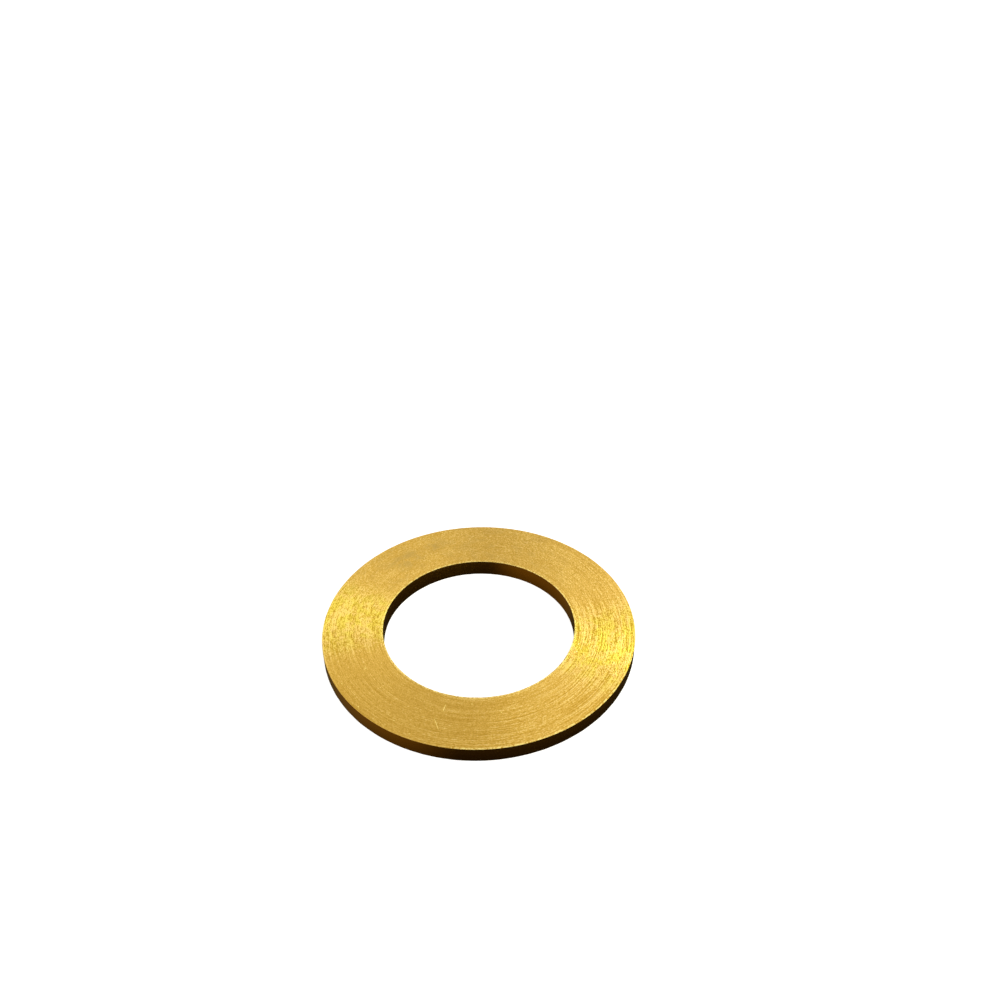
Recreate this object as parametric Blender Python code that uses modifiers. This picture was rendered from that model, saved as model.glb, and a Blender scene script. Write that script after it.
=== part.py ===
"""Plain flat washer, turned from brass.

Metres, +Z up. The washer lies flat: its lower face is on Z = 0 and the Z axis
is the axis of its hole. It is one solid ring with no moving or added pieces.
"""

import math

import bpy

# Driving dimensions.
OUTSIDE_DIAMETER = 0.0400
HOLE_DIAMETER = 0.0245
THICKNESS = 0.0020
EDGE_BREAK = 0.00015  # leg of the 45 degree chamfer on all four rims

# How the round shape is faceted.
FACETS_ROUND = 144
MERGE_WITHIN = 0.00001  # closes the ring where the sweep meets its start

# A rim turns by 90 degrees and a facet by 2.5, so this picks out the rims alone.
RIM_ANGLE = math.radians(45)

# Colour and surface of the metal.
BRASS_COLOUR = (0.72, 0.46, 0.11, 1.0)
BRASS_ROUGHNESS = 0.35


def clear_scene():
    """Empties the scene of the objects that Blender starts with."""
    for leftover in list(bpy.data.objects):
        bpy.data.objects.remove(leftover, do_unlink=True)


def brass():
    """The washer's metal."""
    material = bpy.data.materials.new("brass")
    material.use_nodes = True
    shader = material.node_tree.nodes["Principled BSDF"]
    shader.inputs["Base Color"].default_value = BRASS_COLOUR
    shader.inputs["Metallic"].default_value = 1.0
    shader.inputs["Roughness"].default_value = BRASS_ROUGHNESS
    return material


def ring_section():
    """The square-cornered section of the ring, as a closed outline in the XZ plane.

    It starts at the upper outside corner and runs down the outside first, so
    that the faces swept from it point out of the metal.
    """
    outside = OUTSIDE_DIAMETER / 2
    hole = HOLE_DIAMETER / 2
    corners = [
        (outside, 0, THICKNESS),
        (outside, 0, 0),
        (hole, 0, 0),
        (hole, 0, THICKNESS),
    ]
    count = len(corners)
    sides = [(corner, (corner + 1) % count) for corner in range(count)]
    section = bpy.data.meshes.new("ring_section")
    section.from_pydata(corners, sides, [])
    return section


def sweep_round(ring):
    """Turns the section once round the Z axis."""
    sweep = ring.modifiers.new("turn", "SCREW")
    sweep.axis = "Z"
    sweep.angle = math.tau
    sweep.steps = FACETS_ROUND
    sweep.render_steps = FACETS_ROUND
    sweep.use_merge_vertices = True
    sweep.merge_threshold = MERGE_WITHIN


def break_rims(ring):
    """Takes the sharp corner off the two outside rims and the two rims of the hole."""
    chamfer = ring.modifiers.new("edge_break", "BEVEL")
    chamfer.width = EDGE_BREAK
    chamfer.segments = 1
    chamfer.limit_method = "ANGLE"
    chamfer.angle_limit = RIM_ANGLE
    chamfer.harden_normals = True


def flat_washer():
    """The whole washer as one turned ring."""
    ring = bpy.data.objects.new("washer_ring", ring_section())
    ring.data.materials.append(brass())
    sweep_round(ring)
    break_rims(ring)
    return ring


def main():
    clear_scene()
    collection = bpy.data.collections.new("flat_washer")
    bpy.context.scene.collection.children.link(collection)
    collection.objects.link(flat_washer())


main()
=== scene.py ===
"""Visual model of a plain flat washer, turned from solid brass.

One ring stands for the whole object. Both of its faces carry the concentric lay of a
facing tool and the broken rubbing marks over it, its two walls carry finer turning lines,
and its four rims are slightly rounded. The broken bright line beside the rims is partly
wear and partly painted highlight, and the walls are painted dull brown, darkest at their
foot, partly as painted shade. Lengths are metres. The washer lies on the floor, and the
axis of its hole is the Z axis.
"""

from __future__ import annotations

import logging
import math
from dataclasses import dataclass
from enum import Enum
from typing import Any, Union

import bmesh
import bpy
from mathutils import Matrix, Vector, noise

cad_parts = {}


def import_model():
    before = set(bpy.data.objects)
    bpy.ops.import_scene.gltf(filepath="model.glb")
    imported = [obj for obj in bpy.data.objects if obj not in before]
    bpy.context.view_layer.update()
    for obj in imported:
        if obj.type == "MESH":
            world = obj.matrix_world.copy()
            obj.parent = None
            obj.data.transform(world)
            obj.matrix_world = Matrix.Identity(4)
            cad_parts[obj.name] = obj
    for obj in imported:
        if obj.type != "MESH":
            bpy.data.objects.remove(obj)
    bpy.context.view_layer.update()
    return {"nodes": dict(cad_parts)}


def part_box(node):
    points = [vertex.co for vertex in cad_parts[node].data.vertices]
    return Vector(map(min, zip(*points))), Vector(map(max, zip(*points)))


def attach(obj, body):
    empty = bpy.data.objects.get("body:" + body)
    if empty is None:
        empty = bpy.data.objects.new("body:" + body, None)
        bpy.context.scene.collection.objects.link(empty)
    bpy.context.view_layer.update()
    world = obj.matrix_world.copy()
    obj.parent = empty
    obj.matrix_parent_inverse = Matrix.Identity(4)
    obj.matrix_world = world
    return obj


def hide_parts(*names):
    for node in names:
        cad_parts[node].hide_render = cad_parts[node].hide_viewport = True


log = logging.getLogger("flat_washer")

MM = 0.001
MICRON = 0.000001

NODE = "washer_ring"
BODY = "root"

RING = "turned_ring"
OFF_RIM = "off_rim"  # the attribute that says how far a point of the skin lies from a rim
BAKE_MAP = "OFBake"

Colour = tuple[float, float, float]
Band = tuple[float, float]  # where a smooth step begins, and where it is complete
Key = Union[int, str]  # a socket's place in the list, its name or its identifier


# ---------------------------------------------------------------------------
# Shader sheets
# ---------------------------------------------------------------------------


class Blend(Enum):
    """How one colour goes over another."""

    OVER = "MIX"
    TINT = "MULTIPLY"


class Wire:
    """A number, vector or colour that leaves a shader node, for use in Python sums."""

    def __init__(self, sheet: Sheet, node: bpy.types.Node, output: Key = 0) -> None:
        """Keeps the sheet, the node and the socket that the value leaves by.

        Args:
            sheet: the sheet that the node is on.
            node: the node that makes the value.
            output: the socket that the value leaves by.
        """
        self.sheet = sheet
        self.node = node
        self.output = output

    @property
    def socket(self) -> bpy.types.NodeSocket:
        """The socket itself."""
        return Sheet.socket(self.node.outputs, self.output)

    def _sum(self, operation: str, first: Term, second: Term) -> Wire:
        """One Math node on two terms."""
        return self.sheet.add("ShaderNodeMath", {"operation": operation}, {0: first, 1: second})

    def __add__(self, other: Term) -> Wire:
        """self + other."""
        return self._sum("ADD", self, other)

    def __radd__(self, other: Term) -> Wire:
        """other + self."""
        return self._sum("ADD", other, self)

    def __sub__(self, other: Term) -> Wire:
        """self - other."""
        return self._sum("SUBTRACT", self, other)

    def __rsub__(self, other: Term) -> Wire:
        """other - self."""
        return self._sum("SUBTRACT", other, self)

    def __mul__(self, other: Term) -> Wire:
        """self * other."""
        return self._sum("MULTIPLY", self, other)

    def __rmul__(self, other: Term) -> Wire:
        """other * self."""
        return self._sum("MULTIPLY", other, self)

    def __truediv__(self, other: Term) -> Wire:
        """self / other."""
        return self._sum("DIVIDE", self, other)

    def __rtruediv__(self, other: Term) -> Wire:
        """other / self."""
        return self._sum("DIVIDE", other, self)

    def __abs__(self) -> Wire:
        """The size of self, without its sign."""
        return self._sum("ABSOLUTE", self, 0.0)

    def most(self, other: Term) -> Wire:
        """The larger of self and other."""
        return self._sum("MAXIMUM", self, other)

    def rise(self, low: float, high: float) -> Wire:
        """A smooth step.

        Args:
            low: the value of self where the step is still 0.
            high: the value of self where it has reached 1. It may be the lower of the two.

        Returns:
            The step, from 0 to 1.
        """
        settings = {"interpolation_type": "SMOOTHSTEP"}
        limits = {1: low, 2: high, 3: 0.0, 4: 1.0}
        if low > high:
            limits = {1: high, 2: low, 3: 1.0, 4: 0.0}
        return self.sheet.add("ShaderNodeMapRange", settings, {0: self, **limits})


Term = Union[Wire, float]
Triple = Union[Wire, tuple[float, float, float]]  # a colour or a vector

UP = (0.0, 0.0, 1.0)
RIGHT = (1.0, 0.0, 0.0)
LEVEL = (1.0, 1.0, 0.0)  # leaves out the height of a point that it multiplies


class Sheet:
    """The node tree of one material or world, emptied and ready to be filled."""

    def __init__(self, tree: bpy.types.NodeTree) -> None:
        """Clears the tree."""
        self.tree = tree
        tree.nodes.clear()

    @staticmethod
    def socket(sockets: Any, key: Key) -> bpy.types.NodeSocket:
        """Finds a socket.

        Args:
            sockets: a node's inputs or outputs.
            key: which of them.

        Returns:
            The socket.
        """
        if isinstance(key, int):
            return sockets[key]
        return next(s for s in sockets if key in (s.identifier, s.name))

    def add(
        self,
        kind: str,
        settings: dict[str, Any] | None = None,
        inputs: dict[Key, Any] | None = None,
        output: Key = 0,
    ) -> Wire:
        """Adds one node.

        Args:
            kind: the node's type.
            settings: the node's own settings, which are set first.
            inputs: a value or a Wire for each socket that isn't left alone.
            output: the socket that the result leaves by.

        Returns:
            The node's output.
        """
        node = self.tree.nodes.new(kind)
        for name, value in (settings or {}).items():
            setattr(node, name, value)
        for key, value in (inputs or {}).items():
            socket = self.socket(node.inputs, key)
            if isinstance(value, Wire):
                self.tree.links.new(value.socket, socket)
            else:
                socket.default_value = value
        return Wire(self, node, output)

    def mix(self, factor: Term, below: Triple, above: Triple, blend: Blend = Blend.OVER) -> Wire:
        """Puts one colour over another.

        Args:
            factor: how much of the upper colour shows.
            below: the lower colour.
            above: the upper colour.
            blend: how the upper one goes over the lower one.

        Returns:
            The mixed colour.
        """
        colours = {
            key: value if isinstance(value, Wire) else (*value, 1.0)
            for key, value in (("A_Color", below), ("B_Color", above))
        }
        settings = {"data_type": "RGBA", "blend_type": blend.value}
        return self.add(
            "ShaderNodeMix", settings, {"Factor_Float": factor, **colours}, "Result_Color"
        )

    def vector(self, operation: str, *vectors: Triple, output: str = "Vector") -> Wire:
        """One Vector Math node on one or two vectors."""
        inputs = dict(enumerate(vectors))
        return self.add("ShaderNodeVectorMath", {"operation": operation}, inputs, output)

    def scaled(self, vector: Triple, by: Term) -> Wire:
        """A vector made longer or shorter."""
        settings = {"operation": "SCALE"}
        return self.add("ShaderNodeVectorMath", settings, {0: vector, "Scale": by}, "Vector")

    def along(self, vector: Triple, way: Triple) -> Wire:
        """How far a vector reaches in a direction."""
        return self.vector("DOT_PRODUCT", vector, way, output="Value")

    def length(self, vector: Triple) -> Wire:
        """The length of a vector."""
        return self.vector("LENGTH", vector, output="Value")


# ---------------------------------------------------------------------------
# The ring
# ---------------------------------------------------------------------------


@dataclass(frozen=True)
class RingSize:
    """The sizes that the ring is made to, in metres."""

    outside: float
    hole: float
    thickness: float

    @classmethod
    def of_node(cls, node: bpy.types.Object) -> RingSize:
        """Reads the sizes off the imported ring.

        Args:
            node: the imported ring, which lies at its place.

        Returns:
            Its two radii and its thickness.
        """
        low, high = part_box(NODE)
        hole = min(vertex.co.xy.length for vertex in node.data.vertices)
        return cls(outside=(high.x - low.x) / 2, hole=hole, thickness=high.z - low.z)

    @property
    def width(self) -> float:
        """From the hole to the outside."""
        return self.outside - self.hole

    @property
    def middle(self) -> float:
        """The radius half way between the hole and the outside."""
        return (self.outside + self.hole) / 2


@dataclass(frozen=True)
class Grain:
    """The size of the marks that one working of the metal leaves."""

    along: float  # round the ring
    across: float  # from mark to mark
    place: float = 0.0  # moves the pattern, so that no two grains fall together

    def at(self, size: RingSize, point: Vector) -> Vector:
        """Where a point of the ring lies in the pattern.

        Args:
            size: the ring's sizes.
            point: the point, in metres.

        Returns:
            Coordinates in which one mark is one unit long and one unit wide.
        """
        way = point.xy.normalized() * (size.middle / self.along)
        return Vector((way.x, way.y, (point.xy.length + point.z) / self.across + self.place))


@dataclass(frozen=True)
class Relief:
    """Real unevenness of the surface, made in the mesh."""

    grain: Grain
    depth: float

    def lift(self, size: RingSize, point: Vector) -> float:
        """How far the surface stands proud here, from -depth to depth."""
        return self.depth * noise.noise(self.grain.at(size, point))


@dataclass
class WasherRing:
    """The washer: one ring, spun from its section."""

    size: RingSize
    hole_flare: float = 0.05 * MM  # how much wider the hole is at its top
    drift_top: float = 0.07 * MM  # how far the hole lies off centre there, towards +Y
    drift_foot: float = -0.17 * MM  # the same at its bottom
    rim_round: float = 0.035 * MM
    rim_steps: int = 3
    steps_round: int = 400
    face_rows: int = 96
    wall_rows: int = 10
    wear_reach: float = 0.105 * MM  # how far from a rim its wear ends
    wall_share: float = 0.3  # how deep the marks on the walls are against those on the faces
    map_margin: float = 0.004  # left free round the unrolled skin, as a share of the map
    tool_lay: Relief = Relief(Grain(along=5.0 * MM, across=0.16 * MM), 5.0 * MICRON)
    rubbing: Relief = Relief(Grain(along=1.1 * MM, across=0.13 * MM, place=41.0), 3.0 * MICRON)
    warp: Relief = Relief(Grain(along=9.0 * MM, across=5.0 * MM, place=7.0), 6.0 * MICRON)
    rim_wear: Relief = Relief(Grain(along=0.9 * MM, across=4.0 * MM, place=19.0), 20.0 * MICRON)

    def build(self, finish: BrassFinish) -> bpy.types.Object:
        """Makes the ring.

        Args:
            finish: the metal that it is dressed in.

        Returns:
            The ring, at its place.
        """
        bm = bmesh.new()
        self.draw_section(bm)
        path = self.measure_section(bm)
        self.spin_section(bm)
        self.lay_out_map(bm, path)
        self.work_surface(bm)
        mesh = bpy.data.meshes.new(RING)
        bm.to_mesh(mesh)
        bm.free()
        mesh.shade_smooth()
        mesh.materials.append(finish.material(self.size))
        ring = bpy.data.objects.new(RING, mesh)
        bpy.context.scene.collection.objects.link(ring)
        return ring

    def draw_section(self, bm: bmesh.types.BMesh) -> None:
        """Draws the section of the ring as a closed outline with rounded corners.

        Args:
            bm: an empty mesh.
        """
        size = self.size
        bmesh.ops.create_grid(bm, x_segments=1, y_segments=1, size=0.5)
        stand_up = (
            Matrix.Translation((size.middle, 0.0, size.thickness / 2))
            @ Matrix.Diagonal((size.width, 1.0, size.thickness, 1.0))
            @ Matrix.Rotation(math.radians(90), 4, "X")
        )
        bmesh.ops.transform(bm, matrix=stand_up, verts=bm.verts)
        for corner in bm.verts:
            if corner.co.x < size.middle:
                corner.co.x = self.hole_at(corner.co.z)
        bmesh.ops.bevel(
            bm,
            geom=bm.verts[:],
            offset=self.rim_round,
            offset_type="OFFSET",
            segments=self.rim_steps,
            profile=0.5,
            affect="VERTICES",
            material=-1,
        )
        bmesh.ops.delete(bm, geom=bm.faces[:], context="FACES_ONLY")
        faces = [edge for edge in bm.edges if edge.calc_length() > size.thickness]
        walls = [edge for edge in bm.edges if self.rim_round < edge.calc_length() < size.thickness]
        bmesh.ops.subdivide_edges(bm, edges=faces, cuts=self.face_rows - 1)
        bmesh.ops.subdivide_edges(bm, edges=walls, cuts=self.wall_rows - 1)

    def measure_section(self, bm: bmesh.types.BMesh) -> bmesh.types.BMLayerItem:
        """Writes on each point of the section how far along the outline it lies.

        Args:
            bm: the mesh, which holds the section alone.

        Returns:
            The layer that holds the distances, as shares of the whole outline.
        """
        path = bm.verts.layers.float.new("path")
        start = min(bm.verts, key=lambda vertex: vertex.co.x + vertex.co.z)
        total = sum(edge.calc_length() for edge in bm.edges)
        vertex, edge, walked = start, start.link_edges[0], 0.0
        while walked == 0.0 or vertex is not start:
            vertex[path] = walked / total
            walked += edge.calc_length()
            vertex = edge.other_vert(vertex)
            edge = next(e for e in vertex.link_edges if e is not edge)
        return path

    def spin_section(self, bm: bmesh.types.BMesh) -> None:
        """Turns the section once round the axis of the hole.

        Args:
            bm: the mesh, which holds the section alone.
        """
        bmesh.ops.spin(
            bm,
            geom=bm.verts[:] + bm.edges[:],
            cent=(0.0, 0.0, 0.0),
            axis=(0.0, 0.0, 1.0),
            angle=math.tau,
            steps=self.steps_round,
            use_merge=True,
        )
        bmesh.ops.recalc_face_normals(bm, faces=bm.faces[:])

    def lay_out_map(self, bm: bmesh.types.BMesh, path: bmesh.types.BMLayerItem) -> None:
        """Unrolls the skin into a rectangle: round the ring to the right, round the section upwards.

        Args:
            bm: the spun ring.
            path: the layer that says how far round the section each point lies.
        """
        skin_map = bm.loops.layers.uv.new(BAKE_MAP)
        corner_of_map = Vector((self.map_margin, self.map_margin))
        side_of_map = 1 - 2 * self.map_margin
        for face in bm.faces:
            turns = [math.atan2(corner.vert.co.x, -corner.vert.co.y) / math.tau for corner in face.loops]
            steps = [corner.vert[path] for corner in face.loops]
            for corner, turn, step in zip(face.loops, turns, steps):
                # A face that ends on the seam stays whole, at the far end of the map.
                turn += 1.0 if max(turns) - turn > 0.5 else 0.0
                step += 1.0 if max(steps) - step > 0.5 else 0.0
                corner[skin_map].uv = corner_of_map + Vector((turn + 0.5, step)) * side_of_map

    def work_surface(self, bm: bmesh.types.BMesh) -> None:
        """Moves the skin in and out by the marks that the tools and the wear left.

        Args:
            bm: the spun ring.
        """
        bm.normal_update()
        size = self.size
        off_rim = bm.verts.layers.float.new(OFF_RIM)
        moves = []
        for vertex in bm.verts:
            vertex[off_rim] = self.off_rim_at(vertex.co)
            moves.append(vertex.normal * self.lift_at(vertex.co))
        for vertex, move in zip(bm.verts, moves):
            inwards = (size.outside - vertex.co.xy.length) / size.width
            share = vertex.co.z / size.thickness
            drift = share * self.drift_top + (1.0 - share) * self.drift_foot
            vertex.co += move
            vertex.co.y += drift * min(1.0, max(0.0, inwards))
            vertex.co.z = max(vertex.co.z, 0.0)

    def hole_at(self, height: float) -> float:
        """The radius of the hole at a height above the floor."""
        return self.size.hole + height / self.size.thickness * self.hole_flare

    def off_rim_at(self, point: Vector) -> float:
        """How far a point lies from the nearest rim.

        Args:
            point: a point of the skin.

        Returns:
            The distance, above zero on a face and below it on a wall.
        """
        size = self.size
        radius = point.xy.length
        to_wall = min(radius - self.hole_at(point.z), size.outside - radius)
        return to_wall - min(point.z, size.thickness - point.z)

    def lift_at(self, point: Vector) -> float:
        """How far the skin stands out of the plain ring.

        Args:
            point: a point of the skin.

        Returns:
            The distance, below zero where the skin is sunk.
        """
        size = self.size
        off_rim = self.off_rim_at(point)
        on_rim = max(0.0, 1.0 - abs(off_rim) / self.wear_reach)
        worked = (1.0 - on_rim) * (1.0 if off_rim > 0 else self.wall_share)
        lift = self.warp.lift(size, point)
        lift += worked * (self.tool_lay.lift(size, point) + self.rubbing.lift(size, point))
        return lift + on_rim * self.rim_wear.lift(size, point)


# ---------------------------------------------------------------------------
# The finish
# ---------------------------------------------------------------------------


@dataclass(frozen=True)
class Skin:
    """Where a point of the ring's skin lies, as its material reads it."""

    sheet: Sheet
    size: RingSize
    place: Wire
    way: Wire  # the direction straight out from the axis
    radius: Wire
    height: Wire

    @classmethod
    def of_ring(cls, sheet: Sheet, size: RingSize) -> Skin:
        """Reads the place of the point.

        Args:
            sheet: the material's sheet.
            size: the ring's sizes.

        Returns:
            The place, and what follows from it.
        """
        place = sheet.add("ShaderNodeTexCoord", output="Object")
        flat = sheet.vector("MULTIPLY", place, LEVEL)
        return cls(
            sheet=sheet,
            size=size,
            place=place,
            way=sheet.vector("NORMALIZE", flat),
            radius=sheet.length(flat),
            height=sheet.along(place, UP),
        )


@dataclass(frozen=True)
class Marks:
    """One grade of concentric marks on the metal."""

    grain: Grain
    detail: float = 1.0  # how many finer grades ride on this one
    tone: float = 0.0  # its share in the light and dark of the metal
    depth: float = 0.0  # its share in the bump
    raggedness: float = 0.55

    def draw(self, skin: Skin) -> Wire:
        """Draws the marks.

        Args:
            skin: the place of the point.

        Returns:
            The marks, from 0 in their hollows to 1 on their crests.
        """
        sheet, grain = skin.sheet, self.grain
        round_the_ring = sheet.scaled(skin.way, skin.size.middle / grain.along)
        across = (skin.radius + skin.height) / grain.across + grain.place
        outwards = sheet.add("ShaderNodeCombineXYZ", inputs={"Z": across})
        where = sheet.vector("ADD", round_the_ring, outwards)
        inputs = {"Vector": where, "Scale": 1.0, "Detail": self.detail, "Roughness": self.raggedness}
        return sheet.add("ShaderNodeTexNoise", inputs=inputs, output="Fac")


@dataclass(frozen=True)
class Zone:
    """A stretch of the ring round one bearing, where its look changes."""

    bearing: float  # degrees round from +X to its middle
    edge: float  # the cosine of the angle from its middle to where it begins
    core: float  # the cosine of the angle to where it is complete
    strength: float = 1.0

    def mask(self, skin: Skin) -> Wire:
        """Where the zone is.

        Args:
            skin: the place of the point.

        Returns:
            The mask, from 0 to the strength of the zone.
        """
        turn = math.radians(self.bearing)
        agreement = skin.sheet.along(skin.way, (math.cos(turn), math.sin(turn), 0.0))
        return agreement.rise(self.edge, self.core) * self.strength


@dataclass(frozen=True)
class Patch:
    """A small oval on the upper face, where its look changes."""

    radius: float  # from the axis to its middle
    bearing: float  # degrees round from +X to its middle
    outwards: float  # its whole size away from the axis
    along: float  # its whole size round the ring
    slant: float = 0.0  # degrees that it turns away from straight outwards
    strength: float = 1.0
    core: float = 0.5  # where it is complete, from 0 in its middle to 1 at its edge
    depth: float = 1 * MM  # how far below the face it ends

    def mask(self, skin: Skin) -> Wire:
        """Where the patch is.

        Args:
            skin: the place of the point.

        Returns:
            The mask, from 0 to the strength of the patch.
        """
        turn = math.radians(self.bearing)
        middle = (self.radius * math.cos(turn), self.radius * math.sin(turn), skin.size.thickness)
        local = skin.sheet.add(
            "ShaderNodeMapping",
            {"vector_type": "TEXTURE"},
            {
                "Vector": skin.place,
                "Location": middle,
                "Rotation": (0.0, 0.0, turn + math.radians(self.slant)),
                "Scale": (self.outwards / 2, self.along / 2, self.depth),
            },
        )
        return skin.sheet.length(local).rise(1.0, self.core) * self.strength


@dataclass(frozen=True)
class Scratch(Patch):
    """A single scratch across the lay."""

    core: float = 0.4


@dataclass(frozen=True)
class Smudge(Patch):
    """A dull grey patch, where the metal has been handled."""

    core: float = -0.1  # so it is soft all the way to its middle


# colours of the specks: two kinds of painted glint, and dirt
PAINTED_GLINT: Colour = (1.0, 0.80, 0.22)
PALE_PAINTED_GLINT: Colour = (0.86, 0.78, 0.42)
DIRT: Colour = (0.40, 0.11, 0.02)


@dataclass(frozen=True)
class Speck(Patch):
    """A single nick: most are painted glints, one holds dirt."""

    colour: Colour = PAINTED_GLINT


@dataclass(frozen=True)
class Tone:
    """A colour that the metal takes on as a pattern goes from one level to another."""

    colour: Colour
    start: float  # the level where it begins to show
    full: float  # the level where it shows most
    share: float = 1.0  # how much of it shows there
    blend: Blend = Blend.OVER

    def over(self, below: Triple, pattern: Wire, where: Term = 1.0) -> Wire:
        """Lays the colour over another.

        Args:
            below: the other colour.
            pattern: the pattern that brings this one out.
            where: a mask that keeps it to one part of the ring.

        Returns:
            The mixed colour.
        """
        factor = pattern.rise(self.start, self.full) * self.share * where
        return pattern.sheet.mix(factor, below, self.colour, self.blend)


@dataclass(frozen=True)
class RimWearAndHighlight:
    """The broken bright line beside a rim: partly bare worn metal, partly a painted highlight."""

    # the colour of the line: partly worn metal, partly painted highlight
    colour: Colour = (1.0, 0.80, 0.27)
    strength: float = 0.9
    inset: float = 0.09 * MM  # from the rim to the middle of the line
    edge: float = 0.18 * MM  # from its middle to where it ends
    core: float = 0.08 * MM  # from its middle to where it fades
    wander: float = 0.12 * MM  # how much the fine marks shift its edges
    gaps: Band = (0.45, 0.55)  # the levels of the marks between which it comes in
    outer: Zone = Zone(bearing=-66.0, edge=0.74, core=0.90)  # the stretch of the outer rim where the line shows, as a painted highlight
    hole_side: float = 1 * MM  # inside the middle radius by this much, the line runs all round a rim

    def mask(self, skin: Skin, off_rim: Wire, fine: Wire, broken: Wire) -> Wire:
        """Where the line is.

        Args:
            skin: the place of the point.
            off_rim: the distance from the nearest rim.
            fine: the fine marks.
            broken: the broken marks.

        Returns:
            The mask, from 0 to 1.
        """
        reach = abs(off_rim - self.inset) + (fine - 0.5) * self.wander
        line = reach.rise(self.edge, self.core) * ((broken + fine) * 0.5).rise(*self.gaps)
        middle = skin.size.middle
        inner = skin.radius.rise(middle + self.hole_side, middle - self.hole_side)
        return line * self.outer.mask(skin).most(inner)


@dataclass(frozen=True)
class Working:
    """The patterns and masks that one finish is mixed from."""

    fine: Wire
    broken: Wire
    arcs: Wire
    glitter: Wire
    cloud: Wire
    blotch: Wire
    marks: Wire  # all the concentric marks together
    matt: Wire
    highlight_fans: Wire
    smudge: Wire
    scratch: Wire
    wall: Wire
    rim: Wire


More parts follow.
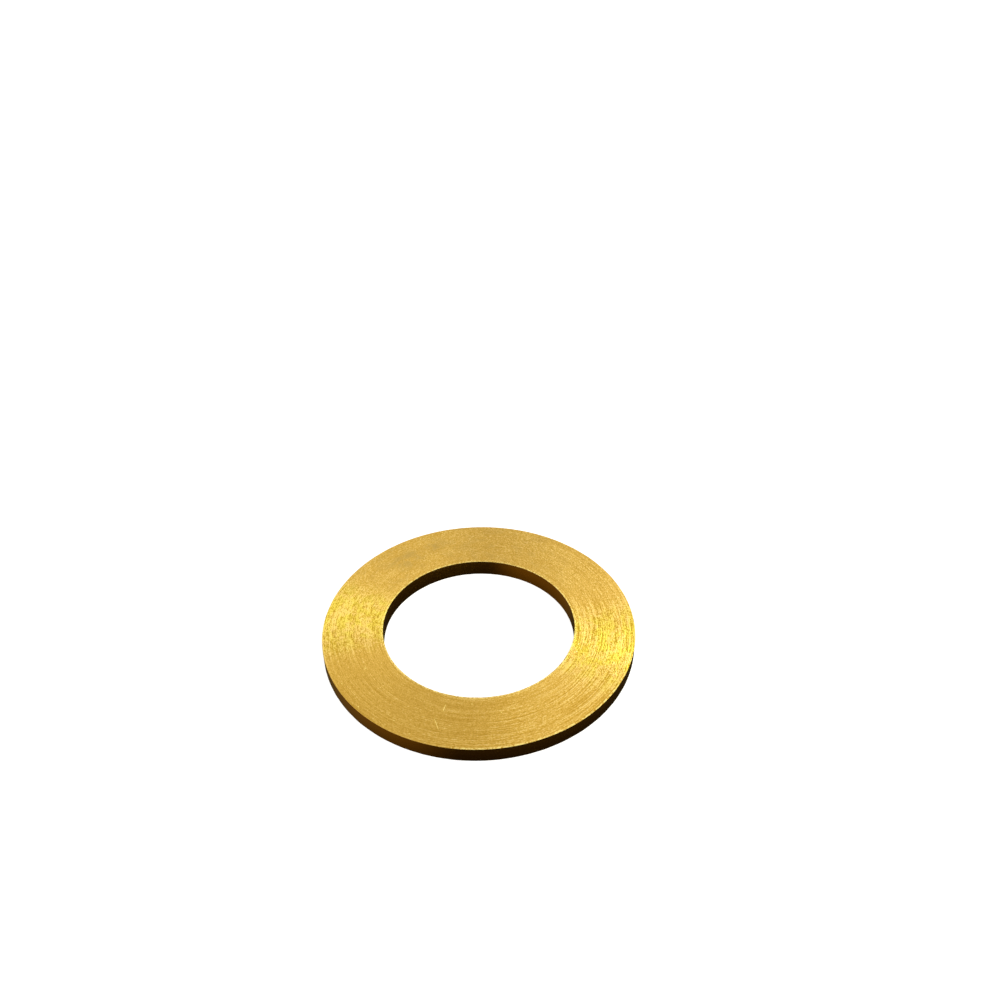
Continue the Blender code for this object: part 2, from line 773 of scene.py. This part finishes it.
@dataclass(frozen=True)
class BrassFinish:
    """Bare turned brass, bright on its faces and painted dull brown on its walls, partly as painted shade.
    Where the lamp highlights fall, its marks are painted bolder, yellower and darker in their hollows.
    """

    deep: Colour = (0.53, 0.30, 0.033)
    bright: Tone = Tone((0.72, 0.45, 0.088), start=0.38, full=0.54)
    glint: Tone = Tone((0.89, 0.635, 0.20), start=0.51, full=0.62)
    # painted shade: darker hollows of the marks, only where the lamp highlights fall
    fan_hollow_shade: Tone = Tone((0.34, 0.17, 0.016), start=0.42, full=0.26, share=0.5)
    tarnish: Tone = Tone((0.53, 0.30, 0.033), start=0.40, full=0.75, share=0.2)
    matt_grey: Tone = Tone((0.51, 0.335, 0.085), start=0.48, full=0.68, share=0.22)
    handled: Tone = Tone((0.51, 0.335, 0.085), start=0.70, full=1.15)
    # painted highlight colour: the metal is tinted yellower where the lamp highlights fall
    fan_highlight_tint: Tone = Tone((0.93, 1.0, 0.56), start=0.40, full=0.60, blend=Blend.TINT)
    # painted shade: the walls are painted darker than the faces, and darkest at their foot by the floor
    wall_foot_shade: Colour = (0.24, 0.125, 0.016)
    wall_top: Tone = Tone((0.42, 0.215, 0.022), start=0.2 * MM, full=2.6 * MM)
    wall_mottle: float = 1 * MM  # how far up and down the fine marks shift the wall's colour
    wall_edge: float = 0.02 * MM  # how far from a rim the wall's colour is complete

    fine: Marks = Marks(Grain(along=0.17 * MM, across=0.12 * MM, place=3.0), tone=0.44, depth=0.55)
    broken: Marks = Marks(
        Grain(along=0.42 * MM, across=0.12 * MM, place=11.0), detail=2.0, tone=0.28, depth=0.55
    )
    arcs: Marks = Marks(Grain(along=7.0 * MM, across=0.14 * MM, place=29.0), tone=0.28, depth=0.90)
    # glitter: painted only where the lamp highlights fall, in colour and in bump
    glitter: Marks = Marks(Grain(along=0.75 * MM, across=0.17 * MM, place=71.0), tone=0.55, depth=0.9)
    cloud: Marks = Marks(Grain(along=5.0 * MM, across=2.6 * MM, place=53.0), detail=2.0)
    blotch: Marks = Marks(Grain(along=1.7 * MM, across=1.1 * MM, place=67.0), detail=2.0)
    level: float = 0.46  # what the marks come to on the whole

    matt: Zone = Zone(bearing=100.0, edge=0.2, core=0.85)
    matt_loss: float = 0.65  # the share of the arcs that is lost there
    drawn: Zone = Zone(bearing=-58.0, edge=0.4, core=0.95, strength=0.35)  # where they are boldest
    rubbed: Zone = Zone(bearing=-135.0, edge=0.3, core=1.0, strength=0.35)  # where all marks are faint
    near_highlight_fan: Zone = Zone(bearing=-15.0, edge=0.86, core=1.0)  # where the right lamp highlight fan falls; the marks are painted bolder there
    far_highlight_fan: Zone = Zone(bearing=174.0, edge=0.90, core=1.0, strength=0.9)
    highlight_fan_gain: float = 1.3  # how much bolder the marks are painted where the lamp highlights fall

    rim: RimWearAndHighlight = RimWearAndHighlight()
    scratches: tuple[Scratch, ...] = (
        Scratch(14.4 * MM, -107.5, outwards=1.5 * MM, along=0.11 * MM, slant=1.0),
        Scratch(16.9 * MM, -108.0, outwards=2.3 * MM, along=0.09 * MM, slant=35.0),
    )
    smudges: tuple[Smudge, ...] = (
        Smudge(16.5 * MM, 126.0, outwards=5.2 * MM, along=8.8 * MM, strength=0.9),
        Smudge(16.9 * MM, 110.0, outwards=4.0 * MM, along=4.8 * MM, strength=0.9),
        Smudge(19.2 * MM, 129.0, outwards=2.0 * MM, along=6.0 * MM, strength=0.6),
    )
    # painted glints, all but the last, which holds dirt
    specks: tuple[Speck, ...] = (
        Speck(15.70 * MM, -153.8, outwards=0.14 * MM, along=0.34 * MM),
        Speck(19.52 * MM, -137.9, outwards=0.14 * MM, along=0.36 * MM),
        Speck(19.28 * MM, -115.6, outwards=0.16 * MM, along=0.22 * MM),
        Speck(18.39 * MM, -123.6, outwards=0.12 * MM, along=0.24 * MM),
        Speck(13.27 * MM, -94.6, outwards=0.12 * MM, along=0.30 * MM),
        Speck(14.83 * MM, -80.8, outwards=0.18 * MM, along=0.22 * MM),
        Speck(19.18 * MM, -150.7, outwards=0.12 * MM, along=0.30 * MM),
        Speck(19.80 * MM, -96.2, outwards=0.12 * MM, along=0.50 * MM),
        Speck(13.20 * MM, -23.5, outwards=0.14 * MM, along=0.26 * MM, colour=PALE_PAINTED_GLINT),
        Speck(13.55 * MM, -20.5, outwards=0.12 * MM, along=0.22 * MM, colour=PALE_PAINTED_GLINT),
        Speck(13.10 * MM, -17.5, outwards=0.12 * MM, along=0.30 * MM, colour=PALE_PAINTED_GLINT),
        Speck(17.45 * MM, -17.5, outwards=0.15 * MM, along=0.26 * MM, colour=DIRT),
    )

    anisotropy: float = 0.95
    turn: float = 0.25
    face_roughness: float = 0.38
    wall_roughness: float = 0.15
    hollow_roughness: float = 0.3  # how much rougher the hollows of the marks are than the crests
    smudge_roughness: float = 0.08
    relief: float = 40.0 * MICRON
    scratch_depth: float = 0.6
    wall_smoothing: float = 0.75  # the share of the bump that the walls lack

    def material(self, size: RingSize) -> bpy.types.Material:
        """Makes the brass.

        Args:
            size: the ring's sizes, which say where its walls and rims are.

        Returns:
            The material.
        """
        brass = bpy.data.materials.new("turned_brass")
        brass.use_nodes = True
        sheet = Sheet(brass.node_tree)
        skin = Skin.of_ring(sheet, size)
        working = self.work(skin)
        shader = sheet.add(
            "ShaderNodeBsdfPrincipled",
            inputs={
                "Base Color": self.colour(skin, working),
                "Metallic": 1.0,
                "Roughness": self.roughness(working),
                "Anisotropic": self.anisotropy,
                "Anisotropic Rotation": self.turn,
                "Normal": self.bump(sheet, working),
            },
        )
        sheet.add("ShaderNodeOutputMaterial", inputs={"Surface": shader})
        return brass

    def work(self, skin: Skin) -> Working:
        """Draws the patterns and masks.

        Args:
            skin: the place of the point.

        Returns:
            All of them, each from 0 to about 1.
        """
        fine, broken = self.fine.draw(skin), self.broken.draw(skin)
        glitter = self.glitter.draw(skin)
        matt = self.matt.mask(skin)
        arcs = 0.5 + (self.arcs.draw(skin) - 0.5) * (1.0 - matt * self.matt_loss + self.drawn.mask(skin))
        # the two zones where the lamp highlight fans fall; the marks are painted bolder there
        highlight_fans = self.near_highlight_fan.mask(skin).most(self.far_highlight_fan.mask(skin))
        marks = fine * self.fine.tone + broken * self.broken.tone + arcs * self.arcs.tone
        boldness = 1.0 - self.rubbed.mask(skin) + highlight_fans * self.highlight_fan_gain
        marks = self.level + (marks - self.level) * boldness
        # painted glitter, only where the lamp highlights fall
        marks = marks + (glitter - 0.5) * highlight_fans * self.glitter.tone
        off_rim = skin.sheet.add("ShaderNodeAttribute", {"attribute_name": OFF_RIM}, output="Fac")
        return Working(
            fine=fine,
            broken=broken,
            arcs=arcs,
            glitter=glitter,
            cloud=self.cloud.draw(skin),
            blotch=self.blotch.draw(skin),
            marks=marks,
            matt=matt,
            highlight_fans=highlight_fans,
            smudge=self.sum_of(self.smudges, skin),
            scratch=self.sum_of(self.scratches, skin),
            wall=off_rim.rise(self.wall_edge, -self.wall_edge),
            rim=self.rim.mask(skin, off_rim, fine, broken),
        )

    @staticmethod
    def sum_of(patches: tuple[Patch, ...], skin: Skin) -> Wire:
        """Where any of some patches is."""
        first, *others = (patch.mask(skin) for patch in patches)
        return sum(others, first)

    def colour(self, skin: Skin, working: Working) -> Wire:
        """Mixes the colour of the metal.

        Args:
            skin: the place of the point.
            working: the patterns and masks.

        Returns:
            The colour.
        """
        sheet, mottle = skin.sheet, working.blotch + working.broken
        colour = self.bright.over(self.deep, working.marks)
        colour = self.glint.over(colour, working.marks)
        # painted shade in the hollows of the marks where the lamp highlights fall
        colour = self.fan_hollow_shade.over(colour, working.marks, working.highlight_fans)
        colour = self.tarnish.over(colour, working.cloud)
        colour = self.matt_grey.over(colour, working.blotch, working.matt)
        colour = self.handled.over(colour, mottle, working.smudge)
        # painted highlight colour, yellower where the lamp highlights fall
        colour = self.fan_highlight_tint.over(colour, working.blotch, working.highlight_fans)
        # painted glints, and one speck of dirt
        for speck in self.specks:
            colour = sheet.mix(speck.mask(skin), colour, speck.colour)
        # painted shade: the walls darken towards their foot
        wall = self.wall_top.over(self.wall_foot_shade, skin.height + working.fine * self.wall_mottle)
        colour = sheet.mix(working.wall, colour, wall)
        # painted highlight, partly wear, beside the rims; the scratches take the same colour
        return sheet.mix(working.rim.most(working.scratch) * self.rim.strength, colour, self.rim.colour)

    def roughness(self, working: Working) -> Wire:
        """Works out how rough the metal is.

        Args:
            working: the patterns and masks.

        Returns:
            The roughness.
        """
        roughness = self.face_roughness + (0.5 - working.marks) * self.hollow_roughness
        roughness = roughness + working.smudge * self.smudge_roughness
        return roughness + working.wall * (self.wall_roughness - self.face_roughness)

    def bump(self, sheet: Sheet, working: Working) -> Wire:
        """Works out the unevenness that is too fine for the mesh.

        Args:
            sheet: the material's sheet.
            working: the patterns and masks.

        Returns:
            The direction that the surface faces.
        """
        height = working.fine * self.fine.depth + working.broken * self.broken.depth
        height = height + working.arcs * self.arcs.depth
        height = height + working.glitter * working.highlight_fans * self.glitter.depth
        height = height - working.scratch * self.scratch_depth
        height = height * (1.0 - working.wall * self.wall_smoothing)
        inputs = {"Strength": 1.0, "Distance": self.relief, "Height": height}
        return sheet.add("ShaderNodeBump", inputs=inputs)


# ---------------------------------------------------------------------------
# Floor, light and camera
# ---------------------------------------------------------------------------


@dataclass(frozen=True)
class Floor:
    """A plain pale floor, bright enough to fade into the background."""

    half_side: float = 3.0
    colour: Colour = (0.55, 0.55, 0.55)
    light: Colour = (1.0, 1.0, 1.0)
    glow: float = 0.72

    def build(self) -> bpy.types.Object:
        """Makes the floor, which the metal doesn't mirror.

        Returns:
            The floor.
        """
        bm = bmesh.new()
        bmesh.ops.create_grid(bm, x_segments=1, y_segments=1, size=self.half_side)
        mesh = bpy.data.meshes.new("floor")
        bm.to_mesh(mesh)
        bm.free()
        paper = bpy.data.materials.new("floor_paper")
        paper.use_nodes = True
        sheet = Sheet(paper.node_tree)
        shader = sheet.add(
            "ShaderNodeBsdfPrincipled",
            inputs={
                "Base Color": (*self.colour, 1.0),
                "Roughness": 1.0,
                "Specular IOR Level": 0.0,
                "Emission Color": (*self.light, 1.0),
                "Emission Strength": self.glow,
            },
        )
        sheet.add("ShaderNodeOutputMaterial", inputs={"Surface": shader})
        mesh.materials.append(paper)
        floor = bpy.data.objects.new("floor", mesh)
        floor.visible_glossy = False
        bpy.context.scene.collection.objects.link(floor)
        return floor


@dataclass(frozen=True)
class Lamp:
    """A square soft light that points at the washer."""

    name: str
    bearing: float  # degrees from +Y towards +X
    elevation: float  # degrees above the horizon
    distance: float
    side: float
    power: float
    colour: Colour

    def build(self) -> bpy.types.Object:
        """Hangs the lamp, out of the camera's sight.

        Returns:
            The lamp.
        """
        data = bpy.data.lights.new(self.name, "AREA")
        data.shape = "SQUARE"
        data.size = self.side
        data.energy = self.power
        data.color = self.colour
        lamp = bpy.data.objects.new(self.name, data)
        turn, rise = math.radians(self.bearing), math.radians(self.elevation)
        level = math.cos(rise)
        way = Vector((math.sin(turn) * level, math.cos(turn) * level, math.sin(rise)))
        lamp.location = way * self.distance
        lamp.rotation_euler = way.to_track_quat("Z", "Y").to_euler()
        lamp.visible_camera = False
        bpy.context.scene.collection.objects.link(lamp)
        return lamp


LAMP_COLOUR: Colour = (0.72, 0.94, 0.20)
LAMPS = (
    Lamp("window", bearing=48.8, elevation=35.9, distance=2.0, side=0.22, power=3.6, colour=LAMP_COLOUR),
    Lamp("far_window", bearing=-33.7, elevation=25.8, distance=2.0, side=0.25, power=1.2, colour=LAMP_COLOUR),
)


@dataclass(frozen=True)
class Room:
    """What the metal mirrors: a pale room above the floor and dark wood below it."""

    sky: Colour = (0.94, 0.924, 0.894)
    sky_right: Colour = (1.62, 1.62, 1.53)
    glow: Colour = (2.2, 2.2, 1.9)
    wood_lit: Colour = (0.23, 0.145, 0.04)
    wood_dark: Colour = (0.036, 0.024, 0.010)
    background: Colour = (1.0, 1.0, 1.0)
    horizon: Band = (0.0, 0.15)  # upwards, from wood to sky
    sky_turn: Band = (-0.12, 0.6)  # to the right, from one sky colour to the other
    glow_turn: Band = (0.0, 0.3)  # to the right, where the glow comes in
    glow_rise: Band = (0.75, 0.5)  # downwards, where it comes in
    wood_turn: Band = (-0.15, -0.75)  # to the left, from dark wood to lit wood

    def build(self) -> bpy.types.World:
        """Makes the world, of which the camera sees only the plain background.

        Returns:
            The world, set as the scene's.
        """
        world = bpy.data.worlds.new("room")
        world.use_nodes = True
        sheet = Sheet(world.node_tree)
        way = sheet.add("ShaderNodeTexCoord", output="Generated")
        up, right = sheet.along(way, UP), sheet.along(way, RIGHT)
        wood = sheet.mix(right.rise(*self.wood_turn), self.wood_dark, self.wood_lit)
        sky = sheet.mix(right.rise(*self.sky_turn), self.sky, self.sky_right)
        low_right = right.rise(*self.glow_turn) * up.rise(*self.glow_rise)
        sky = sheet.mix(low_right, sky, self.glow)
        mirrored = sheet.mix(up.rise(*self.horizon), wood, sky)
        seen = sheet.add("ShaderNodeLightPath", output="Is Camera Ray")
        colour = sheet.mix(seen, mirrored, self.background)
        shader = sheet.add("ShaderNodeBackground", inputs={"Color": colour, "Strength": 1.0})
        sheet.add("ShaderNodeOutputWorld", inputs={"Surface": shader})
        bpy.context.scene.world = world
        return world


@dataclass(frozen=True)
class Viewpoint:
    """A camera held by hand just above the washer."""

    back: float = 93.8 * MM
    height: float = 93.9 * MM
    pitch: float = 37.42  # degrees below the horizon
    pan: float = 1.75  # degrees to the right of straight ahead
    roll: float = -0.52  # degrees
    lens: float = 36.49  # millimetres, as the sensor
    sensor: float = 36.0
    nearest: float = 5 * MM

    def build(self) -> bpy.types.Object:
        """Sets up the camera and hands it to the scene.

        Returns:
            The camera.
        """
        data = bpy.data.cameras.new("camera")
        data.sensor_width = self.sensor
        data.lens = self.lens
        data.clip_start = self.nearest
        camera = bpy.data.objects.new("camera", data)
        camera.matrix_world = (
            Matrix.Translation((0.0, -self.back, self.height))
            @ Matrix.Rotation(math.radians(-self.pan), 4, "Z")
            @ Matrix.Rotation(math.radians(90.0 - self.pitch), 4, "X")
            @ Matrix.Rotation(math.radians(self.roll), 4, "Z")
        )
        bpy.context.scene.collection.objects.link(camera)
        bpy.context.scene.camera = camera
        return camera


# ---------------------------------------------------------------------------
# The whole scene
# ---------------------------------------------------------------------------


def main() -> None:
    """Builds the washer, its floor, its light and its camera."""
    logging.basicConfig(level=logging.INFO, format="%(name)s: %(message)s")
    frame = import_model()
    bpy.context.scene.view_settings.view_transform = "Standard"

    size = RingSize.of_node(frame["nodes"][NODE])
    ring = WasherRing(size).build(BrassFinish())
    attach(ring, BODY)
    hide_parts(NODE)
    log.info("%s: %d faces", ring.name, len(ring.data.polygons))

    Floor().build()
    Room().build()
    for lamp in LAMPS:
        lamp.build()
    Viewpoint().build()


if __name__ == "__main__":
    main()
